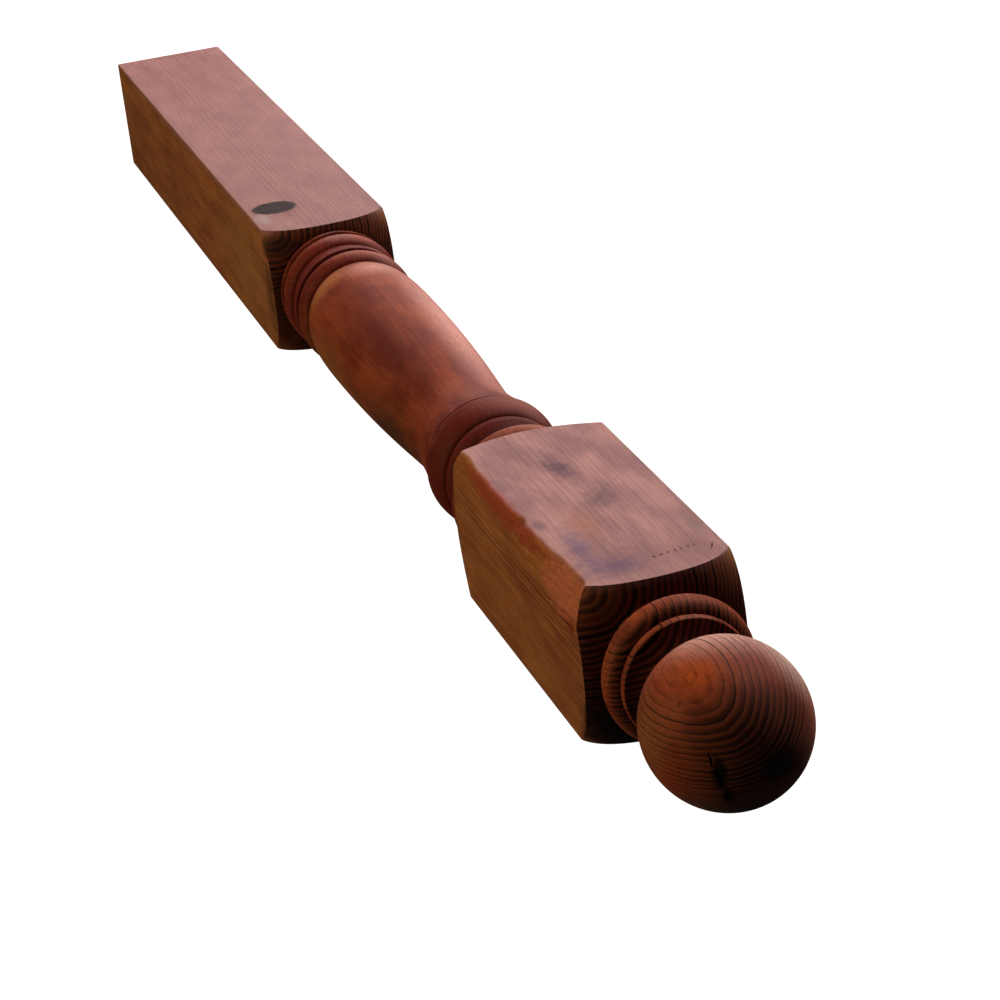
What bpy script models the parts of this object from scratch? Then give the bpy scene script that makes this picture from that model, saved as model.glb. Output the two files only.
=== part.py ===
"""Turned deck post: one square redwood timber, turned between and above its two square blocks.

The whole post is one solid. Its turned outline is a profile that the Screw modifier spins about
the post's axis; where the timber stays square the profile runs outside the timber's corners.
The solid is what the turning and the square timber have in common, so each shoulder leaves the
arc on each face that a lathe leaves. Metres, +Z up, the foot's centre at the origin. The sides
that look to -Y and to +X meet at the one worn arris of the upper block.
"""
import math

import bmesh
import bpy

# The square timber
TIMBER_SIDE = 0.089
ARRIS_EASE = 0.0015
WORN_ARRIS_EASE = 0.009
LOWER_BLOCK_LENGTH = 0.54345
UPPER_BLOCK_LENGTH = 0.1947

# The domed shoulders that look up, and the straight chamfer under the upper block
SHOULDER_RISE = 0.026
SHOULDER_FOOT_DIAMETER = 0.072
CHAMFER_RISE = 0.0161
CHAMFER_FOOT_DIAMETER = 0.076

# The ball, a little longer than it is wide, its neck and the rings under it
BALL_DIAMETER = 0.085
BALL_LENGTH = 0.0914
BALL_NECK_DIAMETER = 0.040
BALL_NECK_LENGTH = 0.0048
BALL_COVE_LENGTH = 0.0060
BALL_COVE_LIP = 0.0012
FLANGE_DIAMETER = 0.0688
FLANGE_THICKNESS = 0.0054
TOP_BEAD_DIAMETER = 0.0816
TOP_BEAD_LENGTH = 0.0162
TOP_NECK_DIAMETER = 0.066
TOP_NECK_LENGTH = 0.0094

# Below the upper block: a bead, a hollow, a thin ring and the wide bead
BLOCK_BEAD_DIAMETER = 0.0842
BLOCK_BEAD_LENGTH = 0.0150
BLOCK_FILLET_DIAMETER = 0.074
BLOCK_FILLET_LENGTH = 0.0030
HOLLOW_DIAMETER = 0.062
HOLLOW_LENGTH = 0.0232
THIN_RING_DIAMETER = 0.0718
THIN_RING_LENGTH = 0.0050
WIDE_BEAD_DIAMETER = 0.0812
WIDE_BEAD_RISE_LENGTH = 0.0183
WIDE_BEAD_FALL_LENGTH = 0.0060
WIDE_BEAD_START_DIAMETER = 0.069
WIDE_BEAD_END_DIAMETER = 0.074

# The long vase, thin at its top and full near the lower block
VASE_TOP_DIAMETER = 0.0772
VASE_FLARE_LENGTH = 0.0490
VASE_NECK_DIAMETER = 0.0675
VASE_SWELL_LENGTH = 0.1960
VASE_FULL_DIAMETER = 0.0829
VASE_END_LENGTH = 0.0540
VASE_END_DIAMETER = 0.073

# How far along each stretch of the vase its curve is pulled, at its start and at its end
VASE_FLARE_PULLS = (0.33, 0.70)
VASE_SWELL_PULLS = (0.10, 0.42)
VASE_END_PULLS = (0.47, 0.88)
VASE_END_ROUNDING = 0.2

# The rings against the lower block
LIGHT_BEAD_DIAMETER = 0.0826
LIGHT_BEAD_LENGTH = 0.0175
LIGHT_BEAD_ROOT_DIAMETER = 0.0715
SMALL_RING_DIAMETER = 0.0806
SMALL_RING_LENGTH = 0.0075
LOWER_COVE_DIAMETER = 0.074
LOWER_COVE_LENGTH = 0.0118
LOWER_BEAD_DIAMETER = 0.0840
LOWER_BEAD_LENGTH = 0.0170
LOWER_COLLAR_DIAMETER = 0.0826
LOWER_COLLAR_LENGTH = 0.0020
LOWER_NECK_LENGTH = 0.0076

# The sunk lines between rings
GROOVE_LENGTH = 0.0030
GROOVE_DEPTH = 0.0015

# How finely round forms are stepped
TURNING_STEPS = 48
ARRIS_STEPS = 3
BALL_STEPS = 12
BEAD_STEPS = 3
COVE_STEPS = 3
SHOULDER_STEPS = 5
VASE_STEPS = 9
VASE_END_STEPS = 6
SMOOTH_ANGLE = math.radians(32.0)

# How far the turning runs past the timber's corners and ends, so that no faces coincide
CORNER_OVERRUN = 0.0005
END_OVERRUN = 0.004
MERGE_DISTANCE = 0.00005

WOOD_COLOUR = (0.23, 0.075, 0.035, 1.0)
WOOD_ROUGHNESS = 0.62


class Turning:
    """The outline of the turned post, kept as radius and height and drawn from the top down."""

    def __init__(self):
        self.points = []
        self.height = 0.0
        self.corner = TIMBER_SIDE / math.sqrt(2.0)
        self.outside = self.corner + CORNER_OVERRUN

    def put(self, radius, height):
        """Adds a point, unless it falls on the last one."""
        if self.points:
            last_radius, last_height = self.points[-1]
            if math.hypot(radius - last_radius, height - last_height) < MERGE_DISTANCE:
                return
        self.points.append((radius, height))

    def down(self, drop):
        """Moves down the axis by drop without adding a point."""
        self.height -= drop

    def ball(self, radius, half_length, neck_radius):
        """Rounds over from the axis, down to where the ball meets its neck."""
        top = self.height
        last = math.pi - math.asin(min(neck_radius / radius, 1.0))
        for step in range(BALL_STEPS + 1):
            angle = last * step / BALL_STEPS
            self.put(radius * math.sin(angle), top - half_length * (1.0 - math.cos(angle)))
        self.height = self.points[-1][1]

    def cylinder(self, radius, length):
        """A straight ring or fillet with square edges."""
        self.put(radius, self.height)
        self.down(length)
        self.put(radius, self.height)

    def groove(self, radius):
        """A narrow sunk line between two rings."""
        self.put(radius - GROOVE_DEPTH, self.height - GROOVE_LENGTH / 2.0)
        self.down(GROOVE_LENGTH)

    def swell(self, start, crest, end, rise_length, fall_length):
        """A rounded ring that swells from its start to its crest and falls to its end."""
        for step in range(BEAD_STEPS + 1):
            angle = math.pi / 2.0 * step / BEAD_STEPS
            along = rise_length * (1.0 - math.cos(angle))
            self.put(start + (crest - start) * math.sin(angle), self.height - along)
        self.down(rise_length)
        for step in range(1, BEAD_STEPS + 1):
            angle = math.pi / 2.0 * step / BEAD_STEPS
            along = fall_length * math.sin(angle)
            self.put(end + (crest - end) * math.cos(angle), self.height - along)
        self.down(fall_length)

    def bead(self, crest, root, length):
        """A half-round ring."""
        self.swell(root, crest, root, length / 2.0, length / 2.0)

    def cove(self, start, end, length):
        """A quarter hollow that leaves along the axis and ends square to it."""
        for step in range(1, COVE_STEPS + 1):
            angle = math.pi / 2.0 * step / COVE_STEPS
            radius = start + (end - start) * (1.0 - math.cos(angle))
            self.put(radius, self.height - length * math.sin(angle))
        self.down(length)

    def hollow(self, start, waist, end, length):
        """A whole hollow between two rims, waist at its middle."""
        steps = 2 * COVE_STEPS - 1
        for step in range(steps + 1):
            part = step / steps
            rim = start + (end - start) * part
            radius = rim + (waist - rim) * math.sin(math.pi * part)
            self.put(radius, self.height - length * part)
        self.down(length)

    def curve(self, radii, pulls, length, steps):
        """A smooth outline through four pull radii, the middle two at given shares of its length."""
        shares = (0.0, pulls[0], pulls[1], 1.0)
        for step in range(steps + 1):
            t = step / steps
            weights = ((1 - t) ** 3, 3 * t * (1 - t) ** 2, 3 * t * t * (1 - t), t ** 3)
            radius = sum(weight * pull for weight, pull in zip(weights, radii))
            along = sum(weight * share for weight, share in zip(weights, shares))
            self.put(radius, self.height - length * along)
        self.down(length)

    def shoulder(self, foot):
        """The domed top end of a block, from its foot to the timber's corners."""
        share = (self.corner - foot) / (self.outside - foot)
        for step in range(SHOULDER_STEPS + 1):
            angle = math.pi / 2.0 * step / SHOULDER_STEPS
            radius = foot + (self.outside - foot) * math.sin(angle)
            self.put(radius, self.height - SHOULDER_RISE * (1.0 - math.cos(angle)))
        self.down(SHOULDER_RISE * (1.0 - math.sqrt(1.0 - share * share)))

    def chamfer(self, foot):
        """The straight bevelled end of a block, from the timber's corners to its foot."""
        overrun = CHAMFER_RISE * CORNER_OVERRUN / (self.corner - foot)
        self.put(self.outside, self.height + overrun)
        self.down(CHAMFER_RISE)
        self.put(foot, self.height)


def turn_top(turning):
    """The ball, its flange and the bead above the upper block."""
    ball_neck = BALL_NECK_DIAMETER / 2.0
    flange = FLANGE_DIAMETER / 2.0
    neck = TOP_NECK_DIAMETER / 2.0
    turning.ball(BALL_DIAMETER / 2.0, BALL_LENGTH / 2.0, ball_neck)
    turning.cylinder(ball_neck, BALL_NECK_LENGTH)
    turning.cove(ball_neck, flange - BALL_COVE_LIP, BALL_COVE_LENGTH)
    turning.cylinder(flange, FLANGE_THICKNESS)
    turning.bead(TOP_BEAD_DIAMETER / 2.0, neck, TOP_BEAD_LENGTH)
    turning.cylinder(neck, TOP_NECK_LENGTH)


def turn_middle_rings(turning):
    """The bead under the upper block, the hollow, the thin ring and the wide bead."""
    fillet = BLOCK_FILLET_DIAMETER / 2.0
    ring = THIN_RING_DIAMETER / 2.0
    start = WIDE_BEAD_START_DIAMETER / 2.0
    end = WIDE_BEAD_END_DIAMETER / 2.0
    turning.cylinder(fillet, BLOCK_FILLET_LENGTH)
    turning.bead(BLOCK_BEAD_DIAMETER / 2.0, fillet, BLOCK_BEAD_LENGTH)
    turning.hollow(fillet, HOLLOW_DIAMETER / 2.0, ring, HOLLOW_LENGTH)
    turning.cylinder(ring, THIN_RING_LENGTH)
    turning.groove(start)
    turning.swell(start, WIDE_BEAD_DIAMETER / 2.0, end, WIDE_BEAD_RISE_LENGTH, WIDE_BEAD_FALL_LENGTH)
    turning.groove(end)


def turn_vase(turning):
    """The long vase: a flared top, a thin neck, a slow swell and a rounded full end."""
    top = VASE_TOP_DIAMETER / 2.0
    neck = VASE_NECK_DIAMETER / 2.0
    full = VASE_FULL_DIAMETER / 2.0
    end = VASE_END_DIAMETER / 2.0
    flare_pull = (top + neck) / 2.0
    end_pull = full - (full - end) * VASE_END_ROUNDING
    turning.curve((top, flare_pull, neck, neck), VASE_FLARE_PULLS, VASE_FLARE_LENGTH, COVE_STEPS)
    turning.curve((neck, neck, full, full), VASE_SWELL_PULLS, VASE_SWELL_LENGTH, VASE_STEPS)
    turning.curve((full, full, end_pull, end), VASE_END_PULLS, VASE_END_LENGTH, VASE_END_STEPS)


def turn_lower_rings(turning):
    """The light bead, the small ring, the lower bead and the thin collar behind it."""
    light_root = LIGHT_BEAD_ROOT_DIAMETER / 2.0
    cove = LOWER_COVE_DIAMETER / 2.0
    turning.groove(light_root)
    turning.bead(LIGHT_BEAD_DIAMETER / 2.0, light_root, LIGHT_BEAD_LENGTH)
    turning.groove(light_root)
    turning.cylinder(SMALL_RING_DIAMETER / 2.0, SMALL_RING_LENGTH)
    turning.cylinder(cove, LOWER_COVE_LENGTH)
    turning.bead(LOWER_BEAD_DIAMETER / 2.0, cove, LOWER_BEAD_LENGTH)
    turning.groove(cove)
    turning.cylinder(LOWER_COLLAR_DIAMETER / 2.0, LOWER_COLLAR_LENGTH)
    turning.cylinder(cove, LOWER_NECK_LENGTH)


def turned_outline():
    """Draws the whole outline from the top down; gives it, and the upper block's ends, from the foot."""
    turning = Turning()
    turn_top(turning)
    turning.shoulder(SHOULDER_FOOT_DIAMETER / 2.0)
    block_top = turning.height
    turning.down(UPPER_BLOCK_LENGTH)
    block_bottom = turning.height
    turning.chamfer(CHAMFER_FOOT_DIAMETER / 2.0)
    turn_middle_rings(turning)
    turn_vase(turning)
    turn_lower_rings(turning)
    turning.shoulder(LOWER_COVE_DIAMETER / 2.0)
    turning.down(LOWER_BLOCK_LENGTH)
    foot = turning.height
    turning.put(turning.outside, foot - END_OVERRUN)
    turning.put(0.0, foot - END_OVERRUN)
    outline = [(radius, height - foot) for radius, height in turning.points]
    return outline, block_bottom - foot, block_top - foot


def new_collection(name):
    """Makes a collection in the scene."""
    collection = bpy.data.collections.new(name)
    bpy.context.scene.collection.children.link(collection)
    return collection


def make_timber(collection, height, block_bottom, block_top):
    """The square timber with eased arrises, one of them worn along the upper block."""
    mesh = bpy.data.meshes.new("square_timber")
    form = bmesh.new()
    bmesh.ops.create_cube(form, size=1.0)
    for corner in form.verts:
        corner.co.x *= TIMBER_SIDE
        corner.co.y *= TIMBER_SIDE
        corner.co.z = (corner.co.z + 0.5) * height
    for cut in (block_bottom - CHAMFER_RISE, block_top + SHOULDER_RISE):
        geometry = form.verts[:] + form.edges[:] + form.faces[:]
        bmesh.ops.bisect_plane(form, geom=geometry, plane_co=(0.0, 0.0, cut), plane_no=(0.0, 0.0, 1.0))

    width = max(ARRIS_EASE, WORN_ARRIS_EASE)
    weight = form.edges.layers.float.new("bevel_weight_edge")
    for edge in form.edges:
        low, high = sorted(corner.co.z for corner in edge.verts)
        if high - low < MERGE_DISTANCE:
            continue
        middle = (edge.verts[0].co + edge.verts[1].co) / 2.0
        along_block = block_bottom < middle.z < block_top
        worn = middle.x > 0.0 and middle.y < 0.0 and along_block
        edge[weight] = (WORN_ARRIS_EASE if worn else ARRIS_EASE) / width
    form.to_mesh(mesh)
    form.free()

    timber = bpy.data.objects.new("square_timber", mesh)
    collection.objects.link(timber)
    timber.hide_render = True
    timber.display_type = "WIRE"
    ease = timber.modifiers.new("Eased arrises", "BEVEL")
    ease.width = width
    ease.segments = ARRIS_STEPS
    ease.limit_method = "WEIGHT"
    return timber


def make_turning(collection, outline, timber):
    """Spins the outline about the axis and keeps what lies inside the timber."""
    mesh = bpy.data.meshes.new("turned_outline")
    corners = [(radius, 0.0, height) for radius, height in outline]
    edges = [(index, index + 1) for index in range(len(corners) - 1)]
    mesh.from_pydata(corners, edges, [])
    turned = bpy.data.objects.new("turned_outline", mesh)
    collection.objects.link(turned)

    spin = turned.modifiers.new("Turning", "SCREW")
    spin.axis = "Z"
    spin.angle = 2.0 * math.pi
    spin.steps = TURNING_STEPS
    spin.render_steps = TURNING_STEPS
    spin.use_merge_vertices = True
    spin.merge_threshold = MERGE_DISTANCE

    square = turned.modifiers.new("Square blocks", "BOOLEAN")
    square.operation = "INTERSECT"
    square.solver = "EXACT"
    square.object = timber
    return turned


def wood_material():
    """Weathered redwood: a dull reddish brown."""
    material = bpy.data.materials.new("redwood")
    material.use_nodes = True
    shader = material.node_tree.nodes["Principled BSDF"]
    shader.inputs["Base Color"].default_value = WOOD_COLOUR
    shader.inputs["Roughness"].default_value = WOOD_ROUGHNESS
    shader.inputs["Metallic"].default_value = 0.0
    return material


def make_post(collection, turned, timber):
    """Fixes the turned and squared form as the finished post."""
    bpy.context.view_layer.update()
    view = bpy.context.evaluated_depsgraph_get()
    mesh = bpy.data.meshes.new_from_object(turned.evaluated_get(view))
    mesh.name = "turned_post"
    mesh.materials.clear()
    mesh.materials.append(wood_material())
    mesh.shade_smooth()
    mesh.set_sharp_from_angle(angle=SMOOTH_ANGLE)
    post = bpy.data.objects.new("turned_post", mesh)
    collection.objects.link(post)
    for rough in (turned, timber):
        bpy.data.objects.remove(rough, do_unlink=True)
    return post


def main():
    """Clears the scene and makes the post."""
    for item in list(bpy.data.objects):
        bpy.data.objects.remove(item, do_unlink=True)
    parts = new_collection("turned_deck_post")
    cutters = new_collection("cutters")
    outline, block_bottom, block_top = turned_outline()
    height = outline[0][1]
    timber = make_timber(cutters, height + END_OVERRUN, block_bottom, block_top)
    turned = make_turning(cutters, outline, timber)
    make_post(parts, turned, timber)


main()
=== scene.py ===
"""Redwood deck post: the finished look of one timber, turned and squared.

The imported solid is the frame. One finer piece stands for it, with the same outline in closer steps,
eased ring edges, the worn arris of the upper block, its drying cracks, and one redwood grain that
runs through the whole timber, so that faces, rings and end grain all show the same growth rings.
Lengths are metres in the row frame, and millimetres inside the wood's own node patterns.
"""
import logging
import math
from dataclasses import dataclass, field
from enum import Enum
from typing import Mapping, Optional, Sequence, Union

import bpy
from mathutils import Matrix, Vector


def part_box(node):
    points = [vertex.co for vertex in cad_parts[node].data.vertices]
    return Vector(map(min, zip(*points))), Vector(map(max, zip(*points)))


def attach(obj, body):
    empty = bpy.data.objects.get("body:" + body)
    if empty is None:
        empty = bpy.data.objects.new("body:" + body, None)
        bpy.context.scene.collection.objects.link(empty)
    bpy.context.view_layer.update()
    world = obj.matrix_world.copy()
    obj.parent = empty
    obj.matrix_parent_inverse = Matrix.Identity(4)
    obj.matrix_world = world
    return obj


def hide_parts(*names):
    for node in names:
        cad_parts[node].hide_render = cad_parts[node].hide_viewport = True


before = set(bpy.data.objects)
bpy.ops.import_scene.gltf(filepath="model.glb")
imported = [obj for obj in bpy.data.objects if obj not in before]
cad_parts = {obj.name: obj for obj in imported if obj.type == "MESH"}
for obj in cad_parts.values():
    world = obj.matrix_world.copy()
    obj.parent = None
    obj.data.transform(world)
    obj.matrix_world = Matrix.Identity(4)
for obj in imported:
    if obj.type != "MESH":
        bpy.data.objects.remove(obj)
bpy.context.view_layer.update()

LOG = logging.getLogger("deck_post")
MERGE_DISTANCE = 0.00001
SMOOTH_ANGLE = math.radians(34.0)
QUARTER_TURN = math.pi / 2.0
MILLIMETRES = 1000.0
NOISE_MIDDLE = (0.5, 0.5, 0.5)

# Input numbers of Blender's Mix node: its share, its two numbers and its two colours
SHARE, NUMBER_A, NUMBER_B, COLOUR_A, COLOUR_B = 0, 2, 3, 6, 7
# A Mix node's colour output, and the ends of a Map Range node that works on vectors
MIXED_COLOUR = 2
FROM_LOW, FROM_HIGH, TO_LOW, TO_HIGH = 7, 8, 9, 10

Point = tuple[float, float]
Place = tuple[float, float, float]
Tree = bpy.types.NodeTree
Node = bpy.types.Node
Socket = bpy.types.NodeSocket
Source = Union[Node, Socket]
Plug = Union[float, Sequence[float], Source]


class Kind(Enum):
    """The kinds of node that the finishes and the studio are made of."""

    COORDINATES = "ShaderNodeTexCoord"
    SPLIT = "ShaderNodeSeparateXYZ"
    MATH = "ShaderNodeMath"
    VECTOR = "ShaderNodeVectorMath"
    RANGE = "ShaderNodeMapRange"
    MIX = "ShaderNodeMix"
    NOISE = "ShaderNodeTexNoise"
    DICE = "ShaderNodeTexWhiteNoise"
    BUMP = "ShaderNodeBump"
    SURFACE = "ShaderNodeBsdfPrincipled"
    SURFACE_OUT = "ShaderNodeOutputMaterial"
    RAY = "ShaderNodeLightPath"
    AIR = "ShaderNodeBackground"
    MIX_SHADERS = "ShaderNodeMixShader"
    AIR_OUT = "ShaderNodeOutputWorld"


class Edge(Enum):
    """How a mark ends: how far out it stays whole, and how ragged it is."""

    BROAD = (0.0, 0.10)
    CLOUD = (0.0, 1.0)
    SOFT = (0.4, 0.7)
    CLEAR = (0.82, 0.22)


def linear(code: str) -> tuple[float, float, float, float]:
    """Turns an sRGB hex colour into the linear colour that a shader takes.

    Args:
        code: The colour as six hex digits after a hash.

    Returns:
        Red, green, blue and alpha, linear.
    """
    shares = [int(code[start:start + 2], 16) / 255.0 for start in (1, 3, 5)]
    straight = [share / 12.92 if share <= 0.04045 else ((share + 0.055) / 1.055) ** 2.4 for share in shares]
    return (straight[0], straight[1], straight[2], 1.0)


def deselect_all() -> None:
    """Leaves no object selected, so that an operator acts on nothing else."""
    bpy.ops.object.select_all(action="DESELECT")


def pick(mesh: bpy.types.Mesh, wanted: Sequence[int], kind: str) -> None:
    """Goes into edit mode with some of a mesh's vertices or edges selected, and nothing else.

    Args:
        mesh: The mesh, out of edit mode.
        wanted: The indices to select.
        kind: Either "VERT" or "EDGE".
    """
    bpy.ops.object.mode_set(mode="EDIT")
    bpy.ops.mesh.select_mode(type=kind)
    bpy.ops.mesh.select_all(action="DESELECT")
    bpy.ops.object.mode_set(mode="OBJECT")
    items = mesh.vertices if kind == "VERT" else mesh.edges
    for index in wanted:
        items[index].select = True
    bpy.ops.object.mode_set(mode="EDIT")


def close_seams() -> None:
    """Merges the doubles of the active piece's mesh and points its faces outwards."""
    bpy.ops.object.mode_set(mode="EDIT")
    bpy.ops.mesh.select_all(action="SELECT")
    bpy.ops.mesh.remove_doubles(threshold=MERGE_DISTANCE)
    bpy.ops.mesh.normals_make_consistent(inside=False)
    bpy.ops.object.mode_set(mode="OBJECT")


def add_node(tree: Tree, kind: Kind, plugs: Mapping[Union[int, str], Plug], **settings: object) -> Node:
    """Adds a node with its settings and what goes into it.

    Args:
        tree: The material's or world's node tree.
        kind: The kind of node.
        plugs: For each input by name or number, the value to set, the socket to link, or the node
            whose first output to link.
        **settings: The node's own settings.

    Returns:
        The new node.
    """
    node = tree.nodes.new(kind.value)
    for name, value in settings.items():
        setattr(node, name, value)
    for key, value in plugs.items():
        source = value.outputs[0] if isinstance(value, Node) else value
        if isinstance(source, Socket):
            tree.links.new(source, node.inputs[key])
        else:
            node.inputs[key].default_value = source
    return node


@dataclass
class Outline:
    """A turned outline, kept as radius and height and drawn from the ball's top down.

    Attributes:
        corner: How far the timber's corners stand from the axis.
        outside: A radius just past the corners.
        height: The height that the outline has come down to.
        round_steps: Steps in each half of a rounded ring.
        cove_steps: Steps in a quarter hollow.
        groove_floor: Where a groove's floor starts and ends, as shares of its length.
        most_ease: The largest share of a stretch that rounding one of its ends may take.
        points: The points so far.
    """

    corner: float
    outside: float
    height: float
    round_steps: int = 12
    cove_steps: int = 10
    groove_floor: Point = (0.4, 0.6)
    most_ease: float = 0.45
    points: list[Point] = field(default_factory=list)

    def put(self, radius: float, height: float) -> None:
        """Adds a point, unless it falls on the last one.

        Args:
            radius: Distance from the axis.
            height: Height above the ground.
        """
        if self.points and math.dist(self.points[-1], (radius, height)) < MERGE_DISTANCE:
            return
        self.points.append((radius, height))

    def down(self, drop: float) -> None:
        """Moves down the axis by drop."""
        self.height -= drop

    def cylinder(self, radius: float, length: float) -> None:
        """Draws a straight ring, fillet or neck with square edges.

        Args:
            radius: Its radius.
            length: Its length along the axis.
        """
        self.put(radius, self.height)
        self.down(length)
        self.put(radius, self.height)

    def groove(self, radius: float, length: float, depth: float) -> None:
        """Draws a narrow sunk line between two rings.

        Args:
            radius: Radius of the rims.
            length: Length along the axis.
            depth: How far the floor lies below the rims.
        """
        for share in self.groove_floor:
            self.put(radius - depth, self.height - length * share)
        self.down(length)

    def swell(self, start: float, crest: float, end: float, rise: float, fall: float) -> None:
        """Draws a rounded ring, from its start out to its crest and back to its end.

        Args:
            start: Radius where it begins.
            crest: Largest radius.
            end: Radius where it stops.
            rise: Length from start to crest.
            fall: Length from crest to end.
        """
        for step in range(self.round_steps + 1):
            angle = QUARTER_TURN * step / self.round_steps
            radius = start + (crest - start) * math.sin(angle)
            self.put(radius, self.height - rise * (1.0 - math.cos(angle)))
        self.down(rise)
        for step in range(1, self.round_steps + 1):
            angle = QUARTER_TURN * step / self.round_steps
            radius = end + (crest - end) * math.cos(angle)
            self.put(radius, self.height - fall * math.sin(angle))
        self.down(fall)

    def cove(self, start: float, end: float, length: float) -> None:
        """Draws a quarter hollow that leaves along the axis and ends square to it.

        Args:
            start: Radius where it begins.
            end: Radius where it stops.
            length: Length along the axis.
        """
        for step in range(1, self.cove_steps + 1):
            angle = QUARTER_TURN * step / self.cove_steps
            radius = start + (end - start) * (1.0 - math.cos(angle))
            self.put(radius, self.height - length * math.sin(angle))
        self.down(length)

    def hollow(self, start: float, waist: float, end: float, length: float) -> None:
        """Draws a whole hollow between two rims, with its waist in the middle.

        Args:
            start: Radius of the upper rim.
            waist: Smallest radius.
            end: Radius of the lower rim.
            length: Length along the axis.
        """
        steps = 2 * self.cove_steps
        for step in range(steps + 1):
            part = step / steps
            rim = start + (end - start) * part
            self.put(rim + (waist - rim) * math.sin(math.pi * part), self.height - length * part)
        self.down(length)

    def curve(self, radii: Sequence[float], pulls: Point, length: float, steps: int) -> None:
        """Draws a smooth stretch through four pull radii.

        Args:
            radii: The pull radii, start and end included.
            pulls: How far along the middle two pulls stand, as shares of the length.
            length: Length along the axis.
            steps: How many steps to draw it in.
        """
        shares = (0.0, pulls[0], pulls[1], 1.0)
        for step in range(steps + 1):
            t = step / steps
            weights = ((1 - t) ** 3, 3 * t * (1 - t) ** 2, 3 * t * t * (1 - t), t ** 3)
            radius = sum(weight * pull for weight, pull in zip(weights, radii))
            along = sum(weight * share for weight, share in zip(weights, shares))
            self.put(radius, self.height - length * along)
        self.down(length)

    def eased(self, reach: float, least_turn: float) -> list[Point]:
        """Rounds every crisp edge a little, as sanding leaves it.

        Args:
            reach: How far from the edge the rounding starts.
            least_turn: The smallest turn, in radians, that counts as an edge.

        Returns:
            The outline with its edges rounded.
        """
        soft = [self.points[0]]
        for before, here, after in zip(self.points, self.points[1:], self.points[2:]):
            back = Vector(before) - Vector(here)
            ahead = Vector(after) - Vector(here)
            if math.pi - back.angle(ahead) < least_turn:
                soft.append(here)
                continue
            start = Vector(here) + back.normalized() * min(reach, back.length * self.most_ease)
            end = Vector(here) + ahead.normalized() * min(reach, ahead.length * self.most_ease)
            middle = (start + end) / 4.0 + Vector(here) / 2.0
            soft += [tuple(start), tuple(middle), tuple(end)]
        soft.append(self.points[-1])
        return soft


@dataclass(frozen=True)
class BallTop:
    """The ball, its neck and flange, and the bead that sits above the upper block."""

    radius: float = 0.0425
    half_length: float = 0.0457
    neck_radius: float = 0.020
    neck_length: float = 0.0048
    cove_length: float = 0.0060
    cove_lip: float = 0.0012
    flange_radius: float = 0.0344
    flange_thickness: float = 0.0054
    flange_nose: float = 0.0012
    bead_radius: float = 0.0408
    bead_length: float = 0.0162
    foot_radius: float = 0.033
    foot_length: float = 0.0094
    ball_steps: int = 64

    def draw(self, outline: Outline) -> None:
        """Draws the top of the post, down to the upper block's shoulder.

        Args:
            outline: The outline, at the ball's top.
        """
        top = outline.height
        last = math.pi - math.asin(self.neck_radius / self.radius)
        for step in range(self.ball_steps + 1):
            angle = last * step / self.ball_steps
            outline.put(self.radius * math.sin(angle), top - self.half_length * (1.0 - math.cos(angle)))
        outline.height = outline.points[-1][1]
        outline.cylinder(self.neck_radius, self.neck_length)
        outline.cove(self.neck_radius, self.flange_radius - self.cove_lip, self.cove_length)
        root = self.flange_radius - self.flange_nose
        half = self.flange_thickness / 2.0
        outline.swell(root, self.flange_radius, root, half, half)
        half = self.bead_length / 2.0
        outline.swell(self.foot_radius, self.bead_radius, self.foot_radius, half, half)
        outline.cylinder(self.foot_radius, self.foot_length)


@dataclass(frozen=True)
class Block:
    """A length of the post left square, with the shoulder that starts it and the chamfer that ends it.

    Attributes:
        length: Length of the timber's corners between the two.
        shoulder_foot: Radius where the shoulder starts.
        shoulder_rise: Height of the whole shoulder's dome.
        shoulder_steps: Steps in the dome.
        chamfer_foot: Radius where the chamfer ends, where the block has one.
        chamfer_rise: The chamfer's height.
    """

    length: float
    shoulder_foot: float
    shoulder_rise: float = 0.026
    shoulder_steps: int = 24
    chamfer_foot: Optional[float] = None
    chamfer_rise: float = 0.0161

    def draw(self, outline: Outline) -> float:
        """Draws the block's two ends on the outline.

        Args:
            outline: The outline so far.

        Returns:
            The height where the timber's corners stop.
        """
        spread = outline.outside - self.shoulder_foot
        share = (outline.corner - self.shoulder_foot) / spread
        for step in range(self.shoulder_steps + 1):
            angle = QUARTER_TURN * step / self.shoulder_steps
            radius = self.shoulder_foot + spread * math.sin(angle)
            outline.put(radius, outline.height - self.shoulder_rise * (1.0 - math.cos(angle)))
        outline.down(self.shoulder_rise * (1.0 - math.sqrt(1.0 - share * share)))
        outline.down(self.length)
        bottom = outline.height
        if self.chamfer_foot is not None:
            past = outline.outside - outline.corner
            overrun = self.chamfer_rise * past / (outline.corner - self.chamfer_foot)
            outline.put(outline.outside, outline.height + overrun)
            outline.down(self.chamfer_rise)
            outline.put(self.chamfer_foot, outline.height)
        return bottom


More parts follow.
